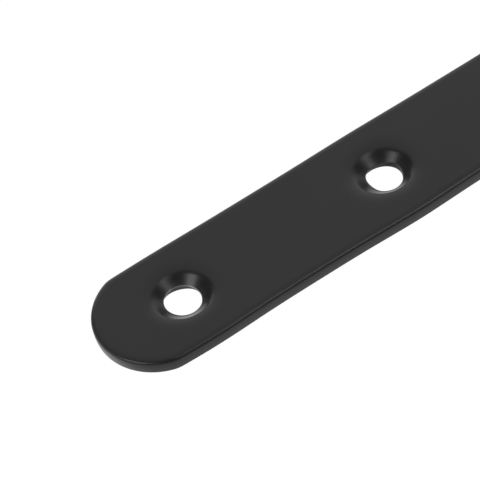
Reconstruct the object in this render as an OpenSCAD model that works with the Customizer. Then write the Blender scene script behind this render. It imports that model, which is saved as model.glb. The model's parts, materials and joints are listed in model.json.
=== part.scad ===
// Flat mending plate: a straight strip of steel with rounded ends and a row of countersunk screw holes.
// It lies on its flat underside, with its length along X and the countersinks facing up.
// Shearing has rolled the top edge over all round, and sinking the holes has pushed the sides out a little.

/* [Strip] */

// Length over both rounded ends
plate_l = 116; // [100:1:200]

// Width between the straight parts of the long sides
plate_w = 16; // [14:0.5:22]

// Thickness of the strip
plate_t = 2; // [1.8:0.1:3]

// How much larger the radius of each end is than half the width, which leaves a slight corner
end_flat = 0.4; // [0.4:0.1:3]

/* [Rolled edge] */

// How far the rolled edge reaches in over the top face
roll_in = 0.7; // [0.6:0.1:0.7]

// How far the rolled edge drops down the side
roll_down = 0.55; // [0.45:0.1:0.55]

// Slope at which the rolled edge leaves the top face, in degrees
roll_slope = 8; // [7:1:8]

/* [Holes] */

// Number of holes, equally spaced
hole_count = 4; // [2:1:5]

// Distance from each end to the centre of the nearest hole
end_to_hole = 12; // [10:0.5:16]

// Diameter of the straight wall of each hole
hole_d = 4.9; // [3:0.1:5.3]

// Height of the straight wall, from the underside up to the cone
land_h = 0.7; // [0.4:0.05:1]

// Full angle of the cone
cone_angle = 102; // [82:1:104]

// Radius of the rolled rim between the cone and the top face
rim_r = 1.8; // [0.5:0.1:2.2]

/* [Bulges] */

// How far the front side is pushed out beside each hole
front_bulge = 0.25; // [0.05:0.01:0.4]

// How far the back side is pushed out beside each hole
back_bulge = 0.11; // [0.1:0.01:0.4]

// Length along the side that each bulge takes
bulge_l = 16; // [12:0.5:18]

/* [Hidden] */

// Colour of the coating
satin_black = [0.13, 0.13, 0.135];

// How far cutting and trimming shapes reach past the plate
spare = 1;

// How far the arc of a bulge runs on inside the strip at each end
bulge_lap = 2;

// Segments in a full turn of each round shape
roll_steps = 60;
bulge_steps = 360;
end_steps = 120;
hole_steps = 72;
rim_steps = 48;

// Outline: the straight sides lie off centre so that the bulges reach equally far on both sides
half_w = plate_w / 2;
mid_y = (front_bulge - back_bulge) / 2;
end_r = half_w + end_flat;
end_x = plate_l / 2 - end_r;

// Radius of the edge arc, from its chord and the angle between the chord and its first slope
roll_chord = sqrt(roll_in * roll_in + roll_down * roll_down);
roll_r = roll_chord / (2 * sin(atan(roll_down / roll_in) - roll_slope));

// Hole row
first_x = end_to_hole - plate_l / 2;
hole_pitch = (plate_l - 2 * end_to_hole) / (hole_count - 1);

// Hole section: the cone, and the rim arc that joins it to the top face with no corner
hole_r = hole_d / 2;
cone_half = cone_angle / 2;
cone_top_r = hole_r + (plate_t - land_h) * tan(cone_half);
rim_out_r = cone_top_r + rim_r * tan((90 - cone_half) / 2);
rim_foot_r = rim_out_r - rim_r * cos(cone_half);
rim_foot_z = plate_t - rim_r + rim_r * sin(cone_half);

// Half of a strip's section, from its middle out to the given reach, with the rolled top edge
module half_section(reach) {
  square([reach - roll_in, plate_t]);
  square([reach, plate_t - roll_down]);
  intersection() {
    translate([reach - roll_in - roll_r * sin(roll_slope), plate_t - roll_r * cos(roll_slope)])
      circle(r = roll_r, $fn = roll_steps);
    translate([reach - roll_in - spare, 0]) square([roll_in + spare, plate_t]);
  }
}

// The straight strip, a little longer than the plate
module strip() {
  translate([plate_l / 2 + spare, 0, 0]) rotate([90, 0, -90]) linear_extrude(plate_l + 2 * spare) {
    half_section(half_w);
    mirror([1, 0]) half_section(half_w);
  }
}

// A wide, shallow arc with the same rolled edge, which stands out from the back side by the given height.
// It is drawn past where it meets the side, so that it ends inside the strip.
module bulge(height) {
  arc_r = (bulge_l * bulge_l / 4 + height * height) / (2 * height);
  sweep = 2 * asin((bulge_l / 2 + bulge_lap) / arc_r);
  translate([0, half_w + height - arc_r, 0]) rotate([0, 0, 90 - sweep / 2])
    rotate_extrude(angle = sweep, $fn = bulge_steps) intersection() {
      half_section(arc_r);
      translate([arc_r - half_w, 0]) square([half_w, plate_t]);
    }
}

// The strip with its bulges, two beside every hole
module bulged_strip() {
  strip();
  for (i = [0 : hole_count - 1]) translate([first_x + i * hole_pitch, 0, 0]) {
    bulge(back_bulge);
    mirror([0, 1, 0]) bulge(front_bulge);
  }
}

// One countersunk hole as a solid: straight wall, cone and rolled rim
module hole() {
  rotate_extrude($fn = hole_steps) difference() {
    polygon([
      [0, -spare],
      [hole_r, -spare],
      [hole_r, land_h],
      [rim_foot_r, rim_foot_z],
      [rim_out_r, plate_t],
      [rim_out_r, plate_t + spare],
      [0, plate_t + spare]
    ]);
    translate([rim_out_r, plate_t - rim_r]) circle(r = rim_r, $fn = rim_steps);
  }
}

// The row of holes as solids
module hole_row() {
  for (i = [0 : hole_count - 1]) translate([first_x + i * hole_pitch, 0, 0]) hole();
}

// What the ends are trimmed to: a disc with the rolled edge at each end, and a wide block between their centres
module end_trim() {
  for (side = [-1, 1]) translate([side * end_x, 0, 0]) rotate_extrude($fn = end_steps) half_section(end_r);
  translate([-end_x, -end_r - spare, 0]) cube([2 * end_x, 2 * (end_r + spare), plate_t]);
}

// The whole plate: the holes go through the bulged strip, and then its ends are trimmed round
module mending_plate() {
  color(satin_black) intersection() {
    difference() {
      translate([0, mid_y, 0]) bulged_strip();
      hole_row();
    }
    translate([0, mid_y, 0]) end_trim();
  }
}

mending_plate();
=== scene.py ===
import json
import math

import bpy
import numpy as np
from mathutils import Matrix, Vector


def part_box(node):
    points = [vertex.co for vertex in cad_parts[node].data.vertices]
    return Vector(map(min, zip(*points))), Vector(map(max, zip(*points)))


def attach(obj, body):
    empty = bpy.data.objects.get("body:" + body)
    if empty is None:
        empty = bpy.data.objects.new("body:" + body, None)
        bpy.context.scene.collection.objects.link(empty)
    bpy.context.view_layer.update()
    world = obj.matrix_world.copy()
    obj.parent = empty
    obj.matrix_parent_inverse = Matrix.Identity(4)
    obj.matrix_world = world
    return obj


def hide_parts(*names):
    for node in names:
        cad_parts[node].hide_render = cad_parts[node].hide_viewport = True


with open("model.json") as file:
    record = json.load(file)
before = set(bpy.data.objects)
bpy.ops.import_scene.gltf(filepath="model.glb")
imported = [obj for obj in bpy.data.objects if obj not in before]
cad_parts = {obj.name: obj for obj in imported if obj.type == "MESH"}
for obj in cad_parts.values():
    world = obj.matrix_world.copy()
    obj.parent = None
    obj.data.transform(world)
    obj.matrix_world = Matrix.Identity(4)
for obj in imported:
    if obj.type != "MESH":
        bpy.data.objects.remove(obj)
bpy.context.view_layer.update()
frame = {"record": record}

# The plate. The real one is a single strip of mild steel 2 mm thick. Its outline is sheared, its holes are
# punched and then sunk from the top, and it has a thin satin black coat all over, worn through at a few
# edges. It lies loose on the table, underside down.

mm = 0.001
low, high = (np.array(corner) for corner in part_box("mending_plate"))
plate_t = high[2]
bores = [mount for mount in frame["record"]["mounts"] if mount["kind"] == "bore"]
hole_x = np.array(sorted(bore["pos_m"][0] for bore in bores))
bore_r = bores[0]["dims"]["r_mm"] * mm
cut_x = (hole_x[0] + hole_x[1]) / 2

# Its outline: straight sides, whose middle line lies a little behind the middle of the plate's box, a
# swelling beside each hole, where sinking has pushed the side out, and round ends.
side_half, side_mid = 8 * mm, 0.084 * mm
bulge_spread = 6.68 * mm
end_r, corner_blend = 8.408 * mm, 0.2 * mm


def side_y(x, outward):
    """Y of a long side at x: the straight side, plus a smooth swelling beside each hole, which falls off as
    exp(-(distance / spread)^2) and just reaches the edge of the plate's box. outward is 1 at the back and
    -1 in front."""
    reach = (high[1] if outward > 0 else -low[1]) - outward * side_mid - side_half
    swell = np.exp(-(((x[:, None] - hole_x) / bulge_spread) ** 2)).max(axis=1)
    return side_mid + outward * (side_half + reach * swell)


def half_outline():
    """Outline of the left half, from the middle of the back side round the end to the middle of the front
    side. Along a side it is side_y. Round the end it is polar about the end's centre: the smaller of the
    end radius and the distance to the side, rounded where they cross. The distance is found in rounds,
    because the side's Y depends on where the ray meets it. At the cuts between cells the sides are taken to
    run along X. Returns points and outward unit normals."""
    inner_steps, outer_steps, end_steps = 4000, 3000, 12001
    settle_rounds, least_sine = 30, 1e-3
    centre_x = low[0] + end_r
    to_cut = np.linspace(0, cut_x, inner_steps, endpoint=False)
    to_end = np.linspace(cut_x, centre_x, outer_steps, endpoint=False)
    x = np.concatenate([to_cut, to_end])
    turn = np.linspace(math.pi / 2, 3 * math.pi / 2, end_steps)
    to_side = np.full_like(turn, side_half)
    for _ in range(settle_rounds):
        at_x = np.clip(centre_x + to_side * np.cos(turn), low[0], 0)
        y = np.where(turn < math.pi, side_y(at_x, 1), side_y(at_x, -1)) - side_mid
        to_side = np.minimum(np.abs(y) / np.maximum(np.abs(np.sin(turn)), least_sine), 2 * end_r)
    crossing = np.maximum(corner_blend - np.abs(to_side - end_r), 0) / corner_blend
    reach = np.minimum(to_side, end_r) - crossing**2 * corner_blend / 4
    back = np.stack([x, side_y(x, 1)], axis=1)
    round_end = np.stack([centre_x + reach * np.cos(turn), side_mid + reach * np.sin(turn)], axis=1)
    front = np.stack([x, side_y(x, -1)], axis=1)[::-1]
    points = np.concatenate([back, round_end, front])
    along = np.gradient(points, axis=0)
    along /= np.linalg.norm(along, axis=1)[:, None]
    for cut in (0, cut_x):
        along[points[:, 0] == cut] = [[-1, 0], [1, 0]]
    return points, np.stack([along[:, 1], -along[:, 0]], axis=1)


# Its sheared edge: the roll over the top, the lean of the side below it, and the small radius at the foot.
roll_in, roll_down, roll_power = 1.022 * mm, 0.572 * mm, 2.47
lean_side, lean_tip, lean_power = 0.058 * mm, 0.097 * mm, 1.89
foot_round = 0.05 * mm
roll_rows, side_rows, foot_rows = 21, 9, 5


def edge_profile(normals):
    """Section of the sheared edge at each outline point: how far in from the side, and the height. The
    rolled part is a superellipse: (in / roll_in)^power + (down / roll_down)^power = 1 about its inner
    corner. Below it the side leans in as a power of the way down, more at the tip of the end than along the
    sides, by the square of the normal's part along X. It ends in the small foot radius."""
    roll = np.linspace(0, math.pi / 2, roll_rows)[:, None]
    foot = np.linspace(0, math.pi / 2, foot_rows)[:, None]
    side = np.linspace(plate_t - roll_down, foot_round, side_rows)[1:-1, None]
    lean = lean_side + (lean_tip - lean_side) * normals[:, 0] ** 2
    way_down = (plate_t - roll_down - side) / (plate_t - roll_down)
    inward = np.concatenate([
        np.repeat(roll_in * (1 - np.sin(roll) ** (2 / roll_power)), len(lean), axis=1),
        lean * way_down**lean_power,
        lean + foot_round * (1 - np.cos(foot)),
    ])
    height = np.concatenate([
        plate_t - roll_down * (1 - np.cos(roll) ** (2 / roll_power)),
        side,
        foot_round * (1 - np.sin(foot)),
    ])
    return inward, height[:, 0]


# Its holes: the wall and its broken edge, the seat, the cone, and the bend and lip of the rim. near_way
# points from a hole's centre to its near side, where the wall faces away from the camera. Of two rows or
# two values, the first is the outer hole's and the second the inner hole's.
near_way = np.array([-0.4, -0.917])
land_h, edge_break = 0.665 * mm, 0.107 * mm
wall_share = np.array([0.3, 0.65, 0.95])[:, None, None]
shown_from, shown_fall = 0.95, 1.6
upper_waves = np.array([
    [-0.083, 0.033, 0.109, -0.012, -0.063, -0.019, 0.012],
    [-0.062, 0.205, -0.108, -0.13, -0.02, 0.083, 0.109],
]) * mm
lower_waves = np.array([
    [-0.075, -0.114, 0.202, 0.11, -0.047, 0.072, 0.033],
    [-0.043, -0.199, 0.11, 0.199, -0.084, -0.022, -0.017],
]) * mm
seat_least, seat_w, seat_power = 0.02 * mm, np.array([0.19, 0.19]) * mm, 1.5
seat_turn, seat_slope = np.radians([206.0, 198.0]), math.radians(14.0)
seat_rounded, bed_share, round_rows = 0.4, 0.04, 5
cone_off = np.array([[0.04, -0.005], [0.088, 0.041]]) * mm
cone_slope, cone_lean, cone_rows = math.radians(38.19), np.radians([1.63, 1.51]), 7
near_steep, near_sharp = math.radians(5.5), 0.72
bend_w, bend_rows = 0.882 * mm, 9
lip_w, lip_sine, lip_power, lip_rows = 2.346 * mm, 0.195, 2.31, 14

# Its wear: a thin line along part of the wall's upper edge in the outer hole, the top of each cone towards
# rubbed_way, and the tip of each end. The fades are shares on the rings from the wall to its broken edge,
# and on the rings from the cone to the first of its bend.
worn_turn = np.radians([-25, -5, 10, 35, 48, 62, 92, 102, 113, 126])
worn_share = [0, 0.9, 1, 0.9, 0.5, 0.35, 0.3, 0.7, 0.5, 0]
rubbed_way, rubbed_share, rubbed_power = np.array([-0.242, -0.97]), 0.42, 6
edge_fade = [0.1, 0.2, 0.85, 1, 1, 1, 1, 1]
rim_fade = [0.3, 0.7, 1, 1, 1, 0.8, 0.5, 0.2]
tip_share, tip_power, tip_rise = 0.55, 10, 1.4


def waved_edge(ray, waves):
    """Distance of a hole's edge from its centre at the angles in ray: the bore's radius, plus a change of
    it, plus one, two and three waves per turn. waves holds the change, then each wave's amounts along X and
    across it."""
    turns = ray[:, None] * [1, 2, 3]
    return bore_r + waves[0] + np.cos(turns) @ waves[1::2] + np.sin(turns) @ waves[2::2]


def rim_section(circle):
    """Rise from the cone to the top face over unit vectors round a hole: a bend, then a lip that ends
    level. Over the bend the sine of the slope eases from the cone's to the lip's, and over the lip it falls
    as (1 - way across)^power. The cone leans, and towards near_way it is steeper and the bend narrower, by
    the square of the vector's part along it. Returns the cone's angle, and the way out and the climb of
    each row."""
    near = np.clip(circle @ near_way, 0, None) ** 2
    steep = cone_slope + circle @ cone_lean + near_steep * near
    bend = np.linspace(0, 1, bend_rows)[:, None]
    lip = np.linspace(0, 1, lip_rows + 1)[1:, None]
    bend_way = bend_w * (1 - near_sharp * near)
    out = np.concatenate([bend_way * bend, bend_way + lip_w * lip])
    ease = bend**2 * (3 - 2 * bend)
    sine = np.concatenate([
        np.sin(steep) + (lip_sine - np.sin(steep)) * ease,
        np.repeat(lip_sine * (1 - lip) ** lip_power, len(circle), axis=1),
    ])
    slope = np.tan(np.arcsin(sine))
    rise = np.cumsum((slope[1:] + slope[:-1]) / 2 * np.diff(out, axis=0), axis=0)
    return steep, out, np.concatenate([np.zeros_like(rise[:1]), rise])


def hole_rings(ray, index):
    """Rings of one hole from the underside up, at the angles in ray: a small foot radius, the wall, its
    broken upper edge, the narrow flatter seat that punching leaves, the cone about its own centre, and the
    rim. The seat is widest at its own turn, as ((1 + cos(ray - turn)) / 2)^power. The wall's lower edge has
    waves of its own, and follows the upper edge on the near side, where the wall is hidden. Returns points
    as (ring, ray, x y z and share of wear)."""
    circle = np.stack([np.cos(ray), np.sin(ray)], axis=1)
    centre = np.array([hole_x[index], 0])
    cone_centre = centre + cone_off[index]
    steep, out, climb = rim_section(circle)
    rim_foot = bore_r + (plate_t - climb[-1] - land_h) / np.tan(steep)
    outer = cone_centre + rim_foot[:, None] * circle

    def cone_point(ring):
        """Points of the cone over a ring: the land's height, plus the way out from the bore times the
        slope."""
        height = land_h + (np.linalg.norm(ring - cone_centre, axis=-1) - bore_r) * np.tan(steep)
        return np.concatenate([ring, height[..., None]], axis=-1)

    def rounded(before, corner, after):
        """Second-order curve from before to after, which leaves and arrives along the lines to corner."""
        turn = np.linspace(0, 1, round_rows)[:, None, None]
        return (1 - turn) ** 2 * before + 2 * turn * (1 - turn) * corner + turn**2 * after

    up_r = waved_edge(ray, upper_waves[index])
    shown = np.clip(shown_from - shown_fall * circle @ near_way, 0, 1)
    low_r = up_r + (waved_edge(ray, lower_waves[index]) - up_r) * shown
    seat_way = seat_least + seat_w[index] * (0.5 + 0.5 * np.cos(ray - seat_turn[index])) ** seat_power
    seat = cone_point(centre + (up_r + seat_way)[:, None] * circle)
    edge = np.column_stack([centre + up_r[:, None] * circle, seat[:, 2] - seat_way * math.tan(seat_slope)])
    wall_top = edge - [0, 0, edge_break]
    cone_start = cone_point(seat[:, :2] + (outer - seat[:, :2]) * bed_share)

    turn = np.linspace(0, math.pi / 2, foot_rows)[:, None]
    foot_r = low_r + foot_round * (1 - np.sin(turn))
    foot_z = np.broadcast_to(foot_round * (1 - np.cos(turn)), foot_r.shape)
    foot = np.dstack([centre + foot_r[..., None] * circle, foot_z])
    wall = foot[-1] + (wall_top - foot[-1]) * wall_share
    broken = rounded(wall_top, edge, edge + (seat - edge) * seat_rounded)
    bedded = rounded(edge + (seat - edge) * (1 - seat_rounded), seat, cone_start)
    cone_share = np.linspace(0, 1, cone_rows)[1:-1, None, None]
    cone = cone_point(cone_start[:, :2] + (outer - cone_start[:, :2]) * cone_share)
    rim = np.dstack([cone_centre + (rim_foot + out)[..., None] * circle, plate_t - climb[-1] + climb])
    rings = np.concatenate([foot, wall, broken, bedded, cone, rim])

    worn = np.interp(ray, worn_turn, worn_share, left=0, right=0) * (index == 0)
    rubbed = rubbed_share * np.clip(circle @ rubbed_way, 0, None) ** rubbed_power
    wear = np.zeros(rings.shape[:2])
    wall_at, cone_at = len(foot), len(rings) - len(rim) - len(cone)
    wear[wall_at:wall_at + len(edge_fade)] = np.outer(edge_fade, worn)
    wear[cone_at:cone_at + len(rim_fade)] = np.outer(rim_fade, rubbed)
    return np.dstack([rings, wear])


# Its surface is laid out in cells, one round each hole, as rays about this angle apart. Between the hole
# and the cell's border its rings lie at these shares of the way, below and above.
angle_step = math.radians(1.25)
foot_share = np.array([1, 0.97, 0.6, 0.2, 0.02])[:, None, None]
top_share = np.array([0.03, 0.09, 0.2, 0.35, 0.52, 0.68, 0.82, 0.92, 0.97, 1])[:, None, None]


def cell_border(points, normals, centre_x, cut_right, cut_left):
    """Border of the cell round one hole, as rays from the hole's centre to the inner corner of the rolled
    edge or to a cut between two cells, at equal angles along each. Returns, for each ray, the outline point
    and normal it belongs to, and whether it ends at the outline."""
    slack = 1e-9
    inner = points - normals * roll_in
    keep = inner[:, 0] <= cut_right + slack
    if cut_left is not None:
        keep &= inner[:, 0] >= cut_left - slack
    kept = np.flatnonzero(keep)
    runs = np.split(kept, np.flatnonzero(np.diff(kept) > 1) + 1)
    border, border_normals, at_outline = [], [], []

    def equal_angles(first, last):
        """Angles from first to last, in equal steps of angle_step or a little less."""
        return np.linspace(first, last, int(math.ceil(abs(last - first) / angle_step)) + 1)

    def along_outline(run):
        """Rays to a run of the outline: points and normals between its own, by the angle."""
        angle = np.unwrap(np.arctan2(inner[run, 1], inner[run, 0] - centre_x))
        wanted = equal_angles(angle[0], angle[-1])
        for values, into in ((points, border), (normals, border_normals)):
            into.append(np.stack([np.interp(wanted, angle, values[run, axis]) for axis in (0, 1)], axis=1))
        at_outline.append(np.ones(len(wanted), bool))

    def along_cut(x, start, end):
        """Rays to the cut at x: Y is the cut's distance times the tangent of the angle."""
        reach = abs(x - centre_x)
        wanted = equal_angles(math.atan2(inner[start, 1], reach), math.atan2(inner[end, 1], reach))[1:-1]
        border.append(np.stack([np.full_like(wanted, x), reach * np.tan(wanted)], axis=1))
        border_normals.append(np.zeros((len(wanted), 2)))
        at_outline.append(np.zeros(len(wanted), bool))

    for index, run in enumerate(runs):
        along_outline(run)
        following = runs[(index + 1) % len(runs)]
        along_cut(cut_right if index == len(runs) - 1 else cut_left, run[-1], following[0])
    return np.concatenate(border), np.concatenate(border_normals), np.concatenate(at_outline)


def grid_faces(first, rows, columns, closed):
    """Quads of a grid of points numbered row by row from first. closed joins the last column to the
    first."""
    column = np.arange(columns if closed else columns - 1)
    row = np.arange(rows - 1)[:, None] * columns
    a = first + row + column
    b = first + row + (column + 1) % columns
    return np.stack([a, a + columns, b + columns, b], axis=-1).reshape(-1, 4)


def cell_surface(border, normals, at_outline, index):
    """Top, hole and underside of one cell as rings, and the sheared edge as strips along its outline. A
    ring is one of the hole's, or a blend from the hole's first or last ring out to the cell's border. The
    tip's wear goes as a power of the normal's part along X, and fades upwards. Returns points, each with
    its share of wear as a fourth number, and faces."""
    edge_in, edge_z = edge_profile(normals)
    top, foot = (np.pad(border - normals * edge_in[row][:, None], ((0, 0), (0, 2))) for row in (0, -1))
    top[:, 2] = plate_t
    hole = hole_rings(np.arctan2(top[:, 1], top[:, 0] - hole_x[index]), index)
    rings = [hole[0] + (foot - hole[0]) * foot_share, hole, hole[-1] + (top - hole[-1]) * top_share]
    parts = [np.concatenate(rings).reshape(-1, 4)]
    faces = [grid_faces(0, len(parts[0]) // len(border), len(border), True)]
    for start in np.flatnonzero(at_outline & ~np.roll(at_outline, 1)):
        length = int(np.argmin(np.roll(at_outline, -start)))
        run = (start + np.arange(length)) % len(border)
        tip = tip_share * np.clip(-normals[run, 0], 0, None) ** tip_power
        strip = np.zeros((len(edge_in), length, 4))
        strip[..., :2] = border[run] - normals[run] * edge_in[:, run, None]
        strip[..., 2] = edge_z[:, None]
        strip[..., 3] = tip * np.clip(tip_rise - tip_rise * edge_z[:, None] / plate_t, 0, 1)
        faces.append(grid_faces(sum(map(len, parts)), len(edge_in), length, False))
        parts.append(strip.reshape(-1, 4))
    return np.concatenate(parts), np.concatenate(faces)


def plate_surface():
    """Surface of the whole plate: the two cells of the left half, mirrored to the right half and welded.
    Returns points, faces and each point's share of wear."""
    weld = 0.001 * mm
    points, normals = half_outline()
    verts, faces, total = [], [], 0
    for index, cut_right, cut_left in ((0, cut_x, None), (1, 0.0, cut_x)):
        border = cell_border(points, normals, hole_x[index], cut_right, cut_left)
        cell_verts, cell_faces = cell_surface(*border, index)
        verts.append(cell_verts)
        faces.append(cell_faces + total)
        total += len(cell_verts)
    verts, faces = np.concatenate(verts), np.concatenate(faces)
    verts = np.concatenate([verts, verts * [-1, 1, 1, 1]])
    faces = np.concatenate([faces, faces[:, ::-1] + total])
    places = np.round(verts[:, :3] / weld)
    _, first, back = np.unique(places, axis=0, return_index=True, return_inverse=True)
    return verts[first, :3], back.reshape(-1)[faces], verts[first, 3]


plate_verts, plate_faces, plate_wear = plate_surface()
plate_mesh = bpy.data.meshes.new("plate")
plate_mesh.from_pydata(plate_verts, [], plate_faces)
corner_wear = plate_wear[plate_faces.reshape(-1)]
wear_uv = np.column_stack([corner_wear, np.zeros_like(corner_wear)]).astype(np.float32)
plate_mesh.uv_layers.new(name="wear").data.foreach_set("uv", wear_uv.reshape(-1))
plate_mesh.shade_smooth()
plate = bpy.data.objects.new("plate", plate_mesh)
bpy.context.scene.collection.objects.link(plate)
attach(plate, "root")
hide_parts("mending_plate")


class Wire:
    """One output socket of a material's nodes. Adding or multiplying wires and numbers adds Math nodes."""

    def __init__(self, tree, socket=None):
        self.tree, self.socket = tree, socket

    def node(self, kind, settings=None, output=0, **inputs):
        """Adds a node of the given type: its settings first, then the values or wires of its sockets. A
        socket is named, or numbered as _0."""
        made = self.tree.nodes.new(kind)
        for name, value in (settings or {}).items():
            setattr(made, name, value)
        for name, value in inputs.items():
            socket = made.inputs[int(name[1:])] if name[0] == "_" else made.inputs[name.replace("_", " ")]
            if isinstance(value, Wire):
                self.tree.links.new(value.socket, socket)
            else:
                socket.default_value = value
        return Wire(self.tree, made.outputs[output])

    def feed(self, socket):
        """Links this wire to an input socket."""
        self.tree.links.new(self.socket, socket)

    def maths(self, operation, other):
        """Adds a Math node on this wire and another wire or a number."""
        return self.node("ShaderNodeMath", {"operation": operation}, _0=self, _1=other)

    def __add__(self, other):
        return self.maths("ADD", other)

    def __mul__(self, other):
        return self.maths("MULTIPLY", other)

    __radd__, __rmul__ = __add__, __mul__


# Its coat: satin black with a faint orange peel and a cloudy tone. The lower band of the sheared side is
# paler in colour, with a ragged upper edge, and stays off the underside. Steel shows through the grain
# where the coat is worn.
deep_black, pale_black = (0.00907, 0.00907, 0.00939, 1), (0.01227, 0.01227, 0.01248, 1)
lower_band_black, bare_steel = (0.0353, 0.0353, 0.0353, 1), (0.55, 0.54, 0.52, 1)
lower_band_top, lower_band_full, lower_band_ragged = 1.503 * mm, 0.575 * mm, 0.5 * mm
underside, above_it = 0.01 * mm, 0.06 * mm
grain_low, grain_high, worn_least = 0.3, 0.6, 0.6
coat_ior, coat_rough, rough_change = 1.442, 0.291, 0.06
peel_depth, peel_strength = 0.02 * mm, 0.15

coat = bpy.data.materials.new("satin_black_coat")
coat.use_nodes = True
shader = coat.node_tree.nodes["Principled BSDF"]
shader.inputs["IOR"].default_value = coat_ior
wires = Wire(coat.node_tree)
place = wires.node("ShaderNodeTexCoord", output="Object")
peel = wires.node("ShaderNodeTexNoise", Vector=place, Scale=700.0, Detail=2.0)
cloud = wires.node("ShaderNodeTexNoise", Vector=place, Scale=110.0, Detail=2.0)
grain = wires.node("ShaderNodeTexNoise", Vector=place, Scale=500.0, Detail=3.0)
height = wires.node("ShaderNodeSeparateXYZ", output=2, _0=place)
wear = wires.node("ShaderNodeSeparateXYZ", _0=wires.node("ShaderNodeUVMap", {"uv_map": "wear"}))

# Paler colour on the side, growing towards the bottom below a ragged edge, and kept off the underside.
lower_band = wires.node("ShaderNodeMapRange", {"interpolation_type": "SMOOTHSTEP"},
                  Value=height + grain * lower_band_ragged, From_Min=lower_band_top, From_Max=lower_band_full)
lower_band = lower_band * wires.node("ShaderNodeMapRange", Value=height, From_Min=underside, From_Max=above_it)
bare = wear * wires.node("ShaderNodeMapRange", Value=grain, From_Min=grain_low, From_Max=grain_high,
                         To_Min=worn_least)
mix = {"data_type": "RGBA"}
tone = wires.node("ShaderNodeMix", mix, output=2, _0=cloud, _6=deep_black, _7=pale_black)
tone = wires.node("ShaderNodeMix", mix, output=2, _0=lower_band, _6=tone, _7=lower_band_black)
tone = wires.node("ShaderNodeMix", mix, output=2, _0=bare, _6=tone, _7=bare_steel)
bump = wires.node("ShaderNodeBump", Strength=peel_strength, Distance=peel_depth, Height=peel)
tone.feed(shader.inputs["Base Color"])
bare.feed(shader.inputs["Metallic"])
(cloud * rough_change + coat_rough).feed(shader.inputs["Roughness"])
bump.feed(shader.inputs["Normal"])
plate_mesh.materials.append(coat)

# The table top, a wide plain white sheet of paper. It shows white to the camera and in reflections, and
# keeps the plate's shadow. It lies just under the plate, so that the two faces do not meet.

floor_half, floor_z = 4, -0.01 * mm
corners = [(x * floor_half, y * floor_half, floor_z) for x, y in ((-1, -1), (1, -1), (1, 1), (-1, 1))]
floor_mesh = bpy.data.meshes.new("table_top")
floor_mesh.from_pydata(corners, [], [(0, 1, 2, 3)])
floor = bpy.data.objects.new("table_top", floor_mesh)
bpy.context.scene.collection.objects.link(floor)

sheet_white, glow_strength = (0.85, 0.85, 0.85, 1), 1.05
camera_glow, reflected_glow = 0.93, 0.505
paper = bpy.data.materials.new("white_sheet")
paper.use_nodes = True
wires = Wire(paper.node_tree)
ray_kinds = ("Is Camera Ray", "Is Glossy Ray", "Is Transmission Ray")
camera_ray, glossy_ray, through_ray = (wires.node("ShaderNodeLightPath", output=name) for name in ray_kinds)
sheet = wires.node("ShaderNodeBsdfDiffuse", Color=sheet_white)
glow = wires.node("ShaderNodeEmission", Strength=glow_strength)
share = (camera_ray + through_ray) * camera_glow + glossy_ray * reflected_glow
seen = wires.node("ShaderNodeMixShader", _0=share, _1=sheet, _2=glow)
seen.feed(paper.node_tree.nodes["Material Output"].inputs["Surface"])
floor_mesh.materials.append(paper)

# The light: a soft box on each side of the camera, a wide white wall behind to the right, a soft box high
# above it, and a dim grey room. The boxes face the part of the plate that the picture shows.

room_grey = (0.18, 0.18, 0.18, 1)
lit_point = Vector((-0.035, 0, 0))
room = bpy.data.worlds.new("room")
bpy.context.scene.world = room
room.use_nodes = True
room.node_tree.nodes["Background"].inputs["Color"].default_value = room_grey


def towards(azimuth, elevation):
    """Unit vector at an azimuth, turned to the right from the front, and an elevation, both in radians."""
    return Vector((math.sin(azimuth) * math.cos(elevation), -math.cos(azimuth) * math.cos(elevation),
                   math.sin(elevation)))


def soft_box(name, azimuth, elevation, half_width, half_height, radiance, distance):
    """A rectangular lamp that faces lit_point from an azimuth and elevation in degrees. Its half sizes are
    per unit of distance, and its power is radiance times pi times its area."""
    lamp = bpy.data.lights.new(name, "AREA")
    lamp.shape = "RECTANGLE"
    lamp.size, lamp.size_y = 2 * half_width * distance, 2 * half_height * distance
    lamp.energy = radiance * math.pi * lamp.size * lamp.size_y
    to_box = towards(math.radians(azimuth), math.radians(elevation))
    box = bpy.data.objects.new(name, lamp)
    box.location = lit_point + to_box * distance
    box.rotation_euler = to_box.to_track_quat("Z", "Y").to_euler()
    box.visible_camera = False
    bpy.context.scene.collection.objects.link(box)


soft_box("left_box", azimuth=-77.76, elevation=38.83, half_width=0.263, half_height=0.145, radiance=5.579,
         distance=0.477)
soft_box("right_box", azimuth=36.86, elevation=50.97, half_width=0.18, half_height=0.297, radiance=2.596,
         distance=0.919)
soft_box("back_wall", azimuth=144.4, elevation=19.76, half_width=1.069, half_height=0.38, radiance=0.975,
         distance=1.089)
soft_box("high_box", azimuth=147.55, elevation=67.46, half_width=0.586, half_height=0.52, radiance=0.563,
         distance=0.89)

# The camera, held above the front a little to the left, with a long lens. It is turned so that the plate
# runs off the picture at its upper right.

azimuth, elevation, camera_roll = -0.41255, 0.87876, 0.2261
distance, focal_px, picture_px = 0.37887, 3026.85, 480
look_at = Vector((-0.0356109, 0.0024061, 0.002))
back = towards(azimuth, elevation)
right = Vector((0, 0, 1)).cross(back).normalized()
up = back.cross(right)
across = math.cos(camera_roll) * right - math.sin(camera_roll) * up
upward = math.sin(camera_roll) * right + math.cos(camera_roll) * up
turned = Matrix((across, upward, back)).transposed().to_4x4()
lens = bpy.data.cameras.new("camera")
lens.sensor_width = 36
lens.lens = focal_px / picture_px * lens.sensor_width
camera = bpy.data.objects.new("camera", lens)
camera.matrix_world = Matrix.Translation(look_at + back * distance) @ turned
bpy.context.scene.collection.objects.link(camera)
bpy.context.scene.camera = camera
bpy.context.scene.view_settings.view_transform = "Standard"
